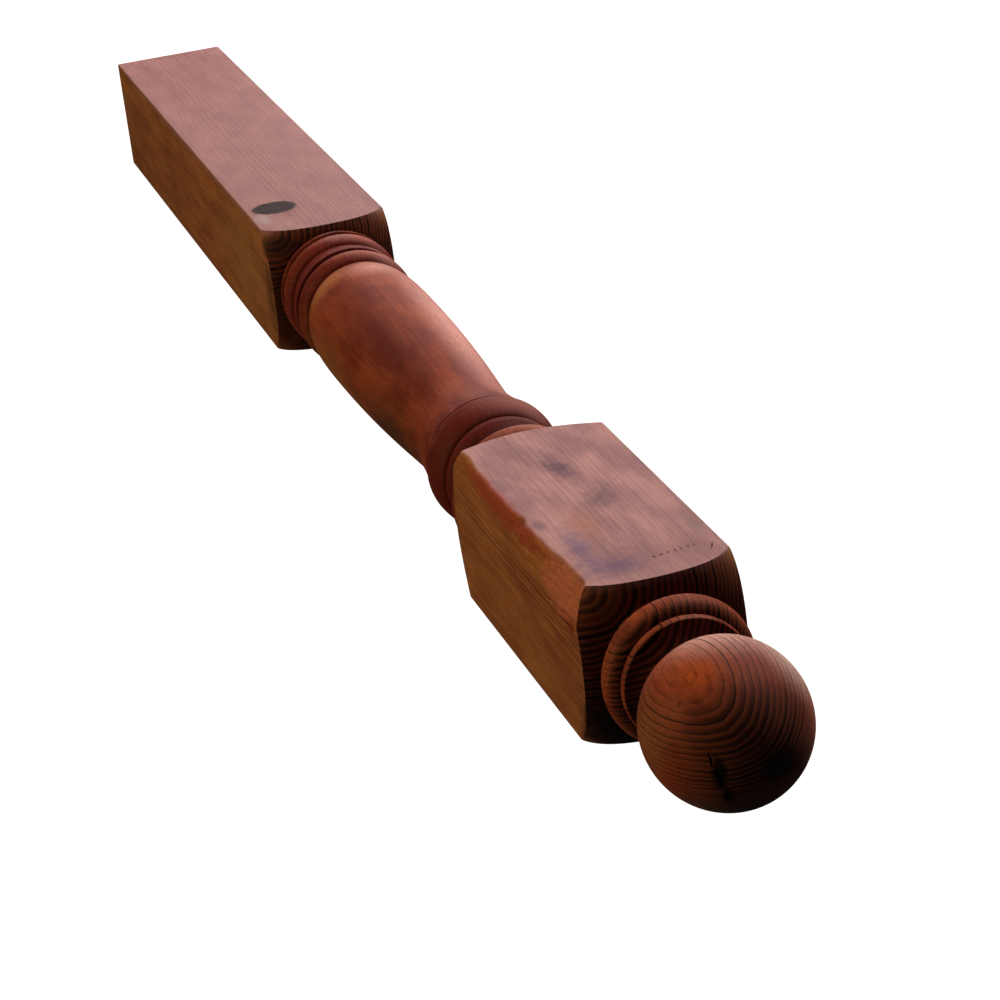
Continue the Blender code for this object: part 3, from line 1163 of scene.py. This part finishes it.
        # Streaks count most on the planed faces, where the fibres run flat, and least on weathered wood
        streaky = add_node(tree, Kind.RANGE, {"Value": planed, "To Min": self.streak_share[0],
                                              "To Max": self.streak_share[1]})
        streaky = add_node(tree, Kind.MATH, {0: weathered, 1: self.weathered_streaks, 2: streaky},
                           operation="MULTIPLY_ADD")
        cloud = add_node(tree, Kind.MIX, {SHARE: streaky, NUMBER_A: tones[0], NUMBER_B: tones[1]},
                         data_type="FLOAT")
        colours = ((self.turned_dark, self.turned_light), (self.planed_dark, self.planed_light),
                   (self.weathered_dark, self.weathered_light))
        turned, *others = [
            add_node(tree, Kind.MIX, {SHARE: cloud, COLOUR_A: linear(dark), COLOUR_B: linear(light)},
                     data_type="RGBA").outputs[MIXED_COLOUR]
            for dark, light in colours
        ]
        colour = turned
        for share, tone in zip((planed, weathered), others):
            colour = add_node(tree, Kind.MIX, {SHARE: share, COLOUR_A: colour, COLOUR_B: tone},
                              data_type="RGBA").outputs[MIXED_COLOUR]
        return colour

    def _grained(
        self, tree: Tree, early: Source, late: Source, end_late: Source, end_share: Source
    ) -> Source:
        """Draws ring lines and end grain over the early wood.

        Args:
            tree: The node tree.
            early: The early wood's colour.
            late: The ring lines' darkness along the grain.
            end_late: Their darkness on end grain.
            end_share: The share of end grain.

        Returns:
            The wood's colour.
        """
        along = {SHARE: late, COLOUR_A: early, COLOUR_B: linear(self.late)}
        across = {SHARE: end_late, COLOUR_A: linear(self.end_early), COLOUR_B: linear(self.end_late)}
        side, end = [add_node(tree, Kind.MIX, plugs, data_type="RGBA").outputs[MIXED_COLOUR]
                     for plugs in (along, across)]
        return add_node(tree, Kind.MIX, {SHARE: end_share, COLOUR_A: side, COLOUR_B: end},
                        data_type="RGBA").outputs[MIXED_COLOUR]

    def _gritty(self, tree: Tree, colour: Source, fibre: Source, weathered: Source) -> Source:
        """Darkens and lightens the wood along its fibres.

        Args:
            tree: The node tree.
            colour: The wood's colour.
            fibre: The fibres' height.
            weathered: The weathered share.

        Returns:
            The colour with its fibres.
        """
        # Sun and rain have felted the weathered face, so its fibres stand out less
        lowest = add_node(tree, Kind.RANGE, {"Value": weathered, "To Min": self.grit_lowest,
                                             "To Max": self.grit_lowest_weathered})
        grit = add_node(tree, Kind.RANGE,
                        {"Value": fibre, "From Min": self.grit_range[0], "From Max": self.grit_range[1],
                         "To Min": lowest, "To Max": self.grit_highest})
        return add_node(tree, Kind.VECTOR, {0: colour, "Scale": grit}, operation="SCALE")

    def _surface(self, tree: Tree, colour: Source, late: Source, fibre: Source) -> Source:
        """Makes the shader: a low bump of fibres and ring lines, and a soft uneven sheen.

        Args:
            tree: The node tree.
            colour: The finished colour.
            late: The ring lines' darkness.
            fibre: The fibres' height.

        Returns:
            The shader.
        """
        height = add_node(tree, Kind.MATH, {0: late, 1: self.line_depth, 2: fibre},
                          operation="MULTIPLY_ADD")
        bump = add_node(tree, Kind.BUMP, {"Strength": self.bump_strength, "Distance": self.bump_height,
                                          "Height": height})
        gloss = add_node(tree, Kind.RANGE,
                         {"Value": fibre, "From Min": self.gloss_range[0], "From Max": self.gloss_range[1],
                          "To Min": self.roughness - self.smoother,
                          "To Max": self.roughness + self.rougher})
        return add_node(tree, Kind.SURFACE,
                        {"Base Color": colour, "Roughness": gloss, "Normal": bump, "IOR": self.refraction,
                         "Specular IOR Level": self.specular, "Sheen Weight": self.sheen,
                         "Sheen Roughness": self.sheen_roughness, "Sheen Tint": linear(self.sheen_tint)})


POST_TINTS_AND_HIGHLIGHTS = (
    # Redder wood round the middle and lower rings, with painted highlights on their rims towards -Y and -X
    StainOrPaintedLight((0.0, 0.0, 968.0), (120.0, 120.0, 62.0), "#5C140A", 0.93, Edge.SOFT),
    StainOrPaintedLight((0.0, 0.0, 612.0), (120.0, 120.0, 50.0), "#681B13", 0.89, Edge.SOFT),
    StainOrPaintedLight((-12.0, -38.0, 1002.0), (38.0, 12.0, 10.0), "#D08468", 0.75, Edge.BROAD),
    StainOrPaintedLight((-14.0, -38.0, 951.0), (36.0, 12.0, 16.0), "#A8604A", 0.60, Edge.BROAD),
    StainOrPaintedLight((-14.0, -38.0, 625.0), (38.0, 14.0, 9.0), "#C87A62", 0.75, Edge.BROAD),
    StainOrPaintedLight((-14.0, -38.0, 586.0), (38.0, 14.0, 9.0), "#C87A62", 0.70, Edge.BROAD),
    # The vase: red-brown in the middle, a painted pink highlight towards -X and -Y, olive orange and then
    # umber towards +X
    StainOrPaintedLight((22.0, -34.0, 800.0), (24.0, 20.0, 210.0), "#5A1E13", 0.80, Edge.BROAD),
    StainOrPaintedLight((-27.0, -30.0, 790.0), (27.0, 24.0, 230.0), "#FAB8A6", 0.92, Edge.BROAD),
    StainOrPaintedLight((-8.0, -40.0, 662.0), (28.0, 14.0, 26.0), "#E8A896", 0.70, Edge.BROAD),
    StainOrPaintedLight((36.0, 14.0, 700.0), (20.0, 36.0, 110.0), "#9C6E36", 0.80, Edge.BROAD),
    StainOrPaintedLight((35.0, 10.0, 840.0), (24.0, 38.0, 92.0), "#44301A", 0.82, Edge.BROAD),
    StainOrPaintedLight((24.0, -26.0, 652.0), (28.0, 28.0, 22.0), "#C8884E", 0.65, Edge.BROAD),
    # The orange wood that wear has laid bare along the arris
    StainOrPaintedLight((43.0, -42.0, 1120.0), (8.0, 8.0, 130.0), "#9C4426", 0.90, Edge.SOFT),
    StainOrPaintedLight((42.0, -36.0, 1212.0), (12.0, 20.0, 40.0), "#C87458", 0.92, Edge.SOFT),
    # The lower block: duller weathered face, lighter left face
    StainOrPaintedLight((0.0, -44.5, 310.0), (160.0, 6.0, 520.0), "#94706C", 0.70, Edge.SOFT),
    StainOrPaintedLight((44.5, 0.0, 470.0), (6.0, 70.0, 120.0), "#B08A56", 0.38),
    # The ball: orange heart, a painted pink highlight on its rim towards -Y and -X, olive side with a red
    # streak
    StainOrPaintedLight((18.0, -35.5, 1342.0), (17.0, 12.0, 18.0), "#C4581A", 0.72),
    StainOrPaintedLight((-14.0, -46.0, 1304.0), (54.0, 27.0, 44.0), "#FFC8B4", 1.00, Edge.BROAD),
    StainOrPaintedLight((-37.0, -28.0, 1322.0), (30.0, 34.0, 46.0), "#FFD8C4", 1.00, Edge.BROAD),
    StainOrPaintedLight((-40.0, -4.0, 1334.0), (14.0, 24.0, 26.0), "#C08068", 0.60, Edge.BROAD),
    StainOrPaintedLight((42.0, -6.0, 1328.0), (14.0, 34.0, 34.0), "#96663A", 0.70, Edge.BROAD),
    StainOrPaintedLight((36.0, 14.0, 1345.0), (6.0, 16.0, 12.0), "#943A16", 0.65),
)

POST_STAINS_AND_SHADE = (
    # Painted shade in the hollows between the rings, and on the end grain by the lower block
    StainOrPaintedLight((0.0, 0.0, 982.0), (43.0, 43.0, 15.0), "#3A0A04", 0.80, Edge.CLEAR),
    StainOrPaintedLight((0.0, 0.0, 614.5), (46.0, 46.0, 3.5), "#3C0E08", 0.75, Edge.CLEAR),
    StainOrPaintedLight((0.0, 0.0, 600.0), (46.0, 46.0, 8.0), "#4A120A", 0.70, Edge.CLEAR),
    StainOrPaintedLight((0.0, 0.0, 569.5), (50.0, 50.0, 7.5), "#320A04", 0.82, Edge.CLEAR),
    StainOrPaintedLight((0.0, 6.0, 552.0), (90.0, 47.0, 26.0), "#1E0703", 0.66, Edge.SOFT),
    StainOrPaintedLight((34.0, -34.0, 556.0), (26.0, 10.5, 15.0), "#1E0703", 0.70, Edge.SOFT),
    # The weathered face of the upper block: painted shade darkening it towards the ball, a pink stretch, a
    # brown patch
    StainOrPaintedLight((0.0, -44.5, 1222.0), (70.0, 6.0, 46.0), "#8A6466", 0.50),
    StainOrPaintedLight((-22.0, -44.5, 1150.0), (20.0, 5.0, 44.0), "#AE8284", 0.30),
    StainOrPaintedLight((12.0, -44.5, 1160.0), (14.0, 4.0, 34.0), "#A06A50", 0.60),
    StainOrPaintedLight((20.0, -44.5, 1040.0), (14.0, 4.0, 30.0), "#7E5A60", 0.60),
    # Two dark smudges, the blue swirl and smaller blooms on the same face
    StainOrPaintedLight((-0.5, -44.5, 1079.7), (12.0, 6.0, 27.0), "#4A3247", 0.70),
    StainOrPaintedLight((-6.9, -44.5, 1132.1), (14.0, 6.0, 24.0), "#503A4A", 0.66),
    StainOrPaintedLight((24.0, -44.5, 1190.0), (9.0, 5.0, 46.0), "#5A4A70", 0.68),
    StainOrPaintedLight((16.0, -44.5, 1220.0), (22.0, 5.0, 20.0), "#5E4A6C", 0.65),
    StainOrPaintedLight((33.0, -44.5, 1150.0), (6.0, 5.0, 11.0), "#4E4A58", 0.50),
    StainOrPaintedLight((35.0, -44.5, 1088.0), (6.0, 5.0, 16.0), "#5A4256", 0.45),
    StainOrPaintedLight((-38.0, -44.5, 1190.0), (6.0, 5.0, 22.0), "#6A6660", 0.50),
    # Darker at the chip in the arris
    StainOrPaintedLight((40.0, -44.5, 1138.0), (5.0, 4.0, 9.0), "#3A1410", 0.80),
    # Painted shade on the far side of the upper block's end, the side turned from the lights
    StainOrPaintedLight((0.0, 40.0, 1244.0), (80.0, 52.0, 26.0), "#050202", 0.95, Edge.SOFT),
    # The knot on the lower block, the darker wood round it and a bleached patch beside it
    StainOrPaintedLight((18.0, -44.5, 512.0), (14.0, 5.0, 22.0), "#6A3A2A", 0.60),
    StainOrPaintedLight((37.0, -44.5, 524.0), (9.0, 5.0, 24.0), "#A89C94", 0.70),
    StainOrPaintedLight((23.8, -44.5, 501.0), (17.5, 7.0, 16.0), "#08070C", 1.00, Edge.CLEAR),
    StainOrPaintedLight((25.0, -44.5, 500.0), (11.0, 5.0, 9.0), "#0A1018", 0.75),
    # Short dark flames in the ball's orange heart
    StainOrPaintedLight((17.2, -36.4, 1339.7), (1.3, 4.0, 5.0), "#6E240A", 0.80),
    StainOrPaintedLight((13.6, -35.7, 1344.6), (1.2, 3.5, 4.5), "#6E240A", 0.75),
    StainOrPaintedLight((22.5, -33.5, 1339.0), (1.3, 3.5, 5.0), "#7A2C0E", 0.70),
    StainOrPaintedLight((27.6, -26.0, 1345.1), (5.0, 2.2, 2.2), "#4C1808", 0.75),
    StainOrPaintedLight((21.0, -27.5, 1351.0), (6.0, 2.2, 2.2), "#4C1808", 0.65),
    # Painted shade on the ball's underside, its dark patch, and its drying check
    StainOrPaintedLight((14.0, 40.0, 1346.0), (38.0, 30.0, 38.0), "#0A0505", 0.88, Edge.SOFT),
    StainOrPaintedLight((19.0, 4.0, 1366.0), (4.5, 14.0, 9.0), "#030202", 0.95, Edge.SOFT),
    StainOrPaintedLight((15.0, 17.0, 1364.0), (4.0, 8.0, 9.0), "#030202", 0.90, Edge.SOFT),
    StainOrPaintedLight((-10.0, 5.0, 1367.0), (15.0, 11.0, 13.0), "#080708", 0.82, Edge.SOFT),
)


@dataclass
class DeckPost:
    """The whole post: one timber, turned between its blocks, in one piece.

    Attributes:
        turning_steps: Faces round the turned lengths.
        corner_overrun: How far the outline passes outside the timber's corners.
        end_overrun: How far outline and timber pass each other's ends.
        edge_ease: How far from a crisp edge its rounding starts.
        edge_turn: The smallest turn, in radians, that counts as a crisp edge.
        seed_size: Size of the small plane that the outline is drawn out from.
        piece: The finished piece, once it is built.
    """

    timber: Timber = field(default_factory=Timber)
    ball_top: BallTop = field(default_factory=BallTop)
    upper_block: Block = Block(length=0.1947, shoulder_foot=0.036, chamfer_foot=0.038)
    middle_rings: MiddleRings = field(default_factory=MiddleRings)
    vase: Vase = field(default_factory=Vase)
    lower_rings: LowerRings = field(default_factory=LowerRings)
    lower_block: Block = Block(length=0.54345, shoulder_foot=0.037)
    turning_steps: int = 192
    corner_overrun: float = 0.0005
    end_overrun: float = 0.004
    edge_ease: float = 0.00055
    edge_turn: float = math.radians(38.0)
    seed_size: float = 0.01
    piece: Optional[bpy.types.Object] = None

    def build(self, height: float) -> bpy.types.Object:
        """Turns the outline and keeps what lies inside the timber.

        Args:
            height: The post's overall height.

        Returns:
            The finished piece, not yet dressed.
        """
        outline = self._outline(height)
        timber = self.timber.build(height + self.end_overrun)
        self.piece = self._spin(outline)
        self._cut(timber, "INTERSECT")
        self._cut(self._nicks(), "DIFFERENCE")
        self._clean()
        return self.piece

    def dress(self, finish: RedwoodFinish) -> None:
        """Gives the piece its wood and its place in the frame.

        Args:
            finish: The wood.
        """
        self.piece.data.materials.clear()
        self.piece.data.materials.append(finish.material())
        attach(self.piece, "root")
        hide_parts("turned_post")

    def _outline(self, height: float) -> list[Point]:
        """Draws the whole outline, from the ball's top to under the foot.

        Args:
            height: The post's overall height.

        Returns:
            The outline's points.
        """
        corner = self.timber.side / math.sqrt(2.0)
        outline = Outline(corner, corner + self.corner_overrun, height)
        self.ball_top.draw(outline)
        self.upper_block.draw(outline)
        self.middle_rings.draw(outline)
        self.vase.draw(outline)
        self.lower_rings.draw(outline)
        foot = self.lower_block.draw(outline)
        LOG.info("outline ends %.3f mm from the ground", foot * MILLIMETRES)
        outline.put(outline.outside, foot - self.end_overrun)
        outline.put(0.0, foot - self.end_overrun)
        return outline.eased(self.edge_ease, self.edge_turn)

    def _spin(self, outline: Sequence[Point]) -> bpy.types.Object:
        """Draws the outline point by point and spins it about the post's axis.

        Args:
            outline: The outline's points, from the top down.

        Returns:
            The turned solid.
        """
        deselect_all()
        bpy.ops.mesh.primitive_plane_add(size=self.seed_size)
        post = bpy.context.object
        post.name = "redwood_post"
        post.data.name = "redwood_post"
        bpy.ops.object.mode_set(mode="EDIT")
        bpy.ops.mesh.select_mode(type="VERT")
        bpy.ops.mesh.merge(type="CENTER")
        bpy.ops.transform.translate(value=(outline[0][0], 0.0, outline[0][1]))
        for last, here in zip(outline, outline[1:]):
            step = (here[0] - last[0], 0.0, here[1] - last[1])
            bpy.ops.mesh.extrude_vertices_move(TRANSFORM_OT_translate={"value": step})
        bpy.ops.mesh.select_all(action="SELECT")
        bpy.ops.mesh.spin(steps=self.turning_steps, angle=math.tau, center=(0.0, 0.0, 0.0),
                          axis=(0.0, 0.0, 1.0))
        bpy.ops.object.mode_set(mode="OBJECT")
        close_seams()
        return post

    def _nicks(self) -> bpy.types.Object:
        """Makes the cutter for all splits and tears.

        Returns:
            The lenses, joined.
        """
        lenses = [nick.build() for nick in POST_NICKS]
        deselect_all()
        for lens in lenses:
            lens.select_set(True)
        bpy.context.view_layer.objects.active = lenses[0]
        bpy.ops.object.join()
        return bpy.context.object

    def _cut(self, cutter: bpy.types.Object, operation: str) -> None:
        """Cuts the piece with another solid, which is used up.

        Args:
            cutter: The other solid.
            operation: "INTERSECT" to keep what both have in common, "DIFFERENCE" to take it away.
        """
        deselect_all()
        self.piece.select_set(True)
        bpy.context.view_layer.objects.active = self.piece
        cut = self.piece.modifiers.new("Cut", "BOOLEAN")
        cut.operation = operation
        cut.solver = "EXACT"
        cut.object = cutter
        bpy.ops.object.modifier_apply(modifier=cut.name)
        bpy.data.objects.remove(cutter, do_unlink=True)

    def _clean(self) -> None:
        """Closes the seams, points the faces outwards and smooths all but the crisp edges."""
        close_seams()
        bpy.ops.object.shade_smooth_by_angle(angle=SMOOTH_ANGLE)
        weigh = self.piece.modifiers.new("Weighted normals", "WEIGHTED_NORMAL")
        weigh.keep_sharp = True
        bpy.ops.object.modifier_apply(modifier=weigh.name)


@dataclass(frozen=True)
class SoftLight:
    """A rectangular soft light that the camera doesn't see.

    Attributes:
        name: The light's name.
        place: Where it stands.
        target: What it looks at.
        size: Its width and height.
        power: Its power in watts.
        colour: Its colour as sRGB hex.
    """

    name: str
    place: Place
    target: Place
    size: Point
    power: float
    colour: str

    def build(self) -> None:
        """Adds the light to the scene."""
        aim = (Vector(self.target) - Vector(self.place)).to_track_quat("-Z", "Y").to_euler()
        bpy.ops.object.light_add(type="AREA", location=self.place, rotation=aim)
        lamp = bpy.context.object
        lamp.name = self.name
        lamp.visible_camera = False
        lamp.data.shape = "RECTANGLE"
        lamp.data.size, lamp.data.size_y = self.size
        lamp.data.energy = self.power
        lamp.data.color = linear(self.colour)[:3]


STUDIO_LIGHTS = (
    SoftLight("sky_light", (-1.5, -2.2, 0.2), (0.0, 0.0, 1.1), (1.7, 1.7), 112.0, "#F8ECEC"),
    SoftLight("glow_light", (-0.42, -0.52, 0.04), (-0.1, -0.2, 1.2), (0.66, 1.0), 5.0, "#F4E8EC"),
    SoftLight("window_light", (2.8, -1.1, 0.8), (0.0, 0.0, 1.0), (1.5, 1.5), 44.0, "#FFDFA4"),
)


@dataclass(frozen=True)
class Studio:
    """A pale floor, soft light as under a bright overcast sky, and the photograph's viewpoint.

    Attributes:
        focal_length: The camera's focal length in millimetres, on the sensor's width.
        sensor: The sensor's width in millimetres.
        eye: Where the camera stands.
        right: The way the picture's right side points.
        down: The way its foot points.
        forward: The way the camera looks.
        farthest: How far the camera sees.
        lights: The soft lights.
        floor_size: The floor's width.
        floor_colour: The floor's paint.
        floor_roughness: How matt the paint is.
        floor_glow: The floor's own light, which shows it as the photograph's blank ground.
        fill_colour: The colour of the air's light on the post.
        fill_strength: How strong that light is.
        backdrop_colour: The air's colour as the camera sees it.
    """

    focal_length: float = 110.03
    sensor: float = 36.0
    eye: Place = (0.42142, -0.67240, 2.56869)
    right: Place = (-0.9497, 0.1087, 0.2937)
    down: Place = (0.2098, 0.9171, 0.3390)
    forward: Place = (-0.2325, 0.3836, -0.8938)
    farthest: float = 60.0
    lights: tuple[SoftLight, ...] = STUDIO_LIGHTS
    floor_size: float = 24.0
    floor_colour: str = "#E8E8E8"
    floor_roughness: float = 0.9
    floor_glow: float = 1.0
    fill_colour: str = "#D8DCE6"
    fill_strength: float = 0.05
    backdrop_colour: str = "#F6F6F6"

    def build(self) -> None:
        """Sets the stage, the lights and the camera."""
        self._floor()
        self._world()
        for light in self.lights:
            light.build()
        self._camera()
        bpy.context.scene.view_settings.view_transform = "Standard"

    def _floor(self) -> None:
        """Lays a wide pale floor under the post's foot, in matt white paint."""
        deselect_all()
        bpy.ops.mesh.primitive_plane_add(size=self.floor_size)
        floor = bpy.context.object
        floor.name = "studio_floor"
        material = bpy.data.materials.new("matt_white_paint")
        material.use_nodes = True
        shader = material.node_tree.nodes["Principled BSDF"]
        shader.inputs["Base Color"].default_value = linear(self.floor_colour)
        shader.inputs["Roughness"].default_value = self.floor_roughness
        shader.inputs["Emission Color"].default_value = linear("#FFFFFF")
        shader.inputs["Emission Strength"].default_value = self.floor_glow
        floor.data.materials.append(material)
        # The floor's glow doesn't light the post and isn't mirrored in it
        floor.visible_diffuse = False
        floor.visible_glossy = False

    def _world(self) -> None:
        """Gives the air a dim even fill, which the camera itself sees as a pale backdrop."""
        world = bpy.data.worlds.new("studio_air")
        world.use_nodes = True
        bpy.context.scene.world = world
        tree = world.node_tree
        tree.nodes.clear()
        ray = add_node(tree, Kind.RAY, {})
        fill = add_node(tree, Kind.AIR, {"Color": linear(self.fill_colour), "Strength": self.fill_strength})
        drop = add_node(tree, Kind.AIR, {"Color": linear(self.backdrop_colour), "Strength": 1.0})
        mix = add_node(tree, Kind.MIX_SHADERS, {0: ray.outputs["Is Camera Ray"], 1: fill, 2: drop})
        add_node(tree, Kind.AIR_OUT, {"Surface": mix})

    def _camera(self) -> None:
        """Adds the camera at the photograph's viewpoint."""
        bpy.ops.object.camera_add()
        camera = bpy.context.object
        camera.name = "viewpoint"
        turn = Matrix((Vector(self.right), -Vector(self.down), -Vector(self.forward))).transposed()
        camera.matrix_world = Matrix.Translation(self.eye) @ turn.to_4x4()
        camera.data.lens = self.focal_length
        camera.data.sensor_width = self.sensor
        camera.data.clip_end = self.farthest
        bpy.context.scene.camera = camera


def main() -> None:
    """Builds the post and its stage, and reports each piece."""
    logging.basicConfig(level=logging.INFO, format="%(message)s")
    low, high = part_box("turned_post")
    post = DeckPost()
    piece = post.build(high[2] - low[2])
    post.dress(RedwoodFinish(tints_and_highlights=POST_TINTS_AND_HIGHLIGHTS, stains_and_shade=POST_STAINS_AND_SHADE))
    triangles = sum(len(face.vertices) - 2 for face in piece.data.polygons)
    LOG.info("%s: %d triangles", piece.name, triangles)
    Studio().build()


if __name__ == "__main__":
    main()
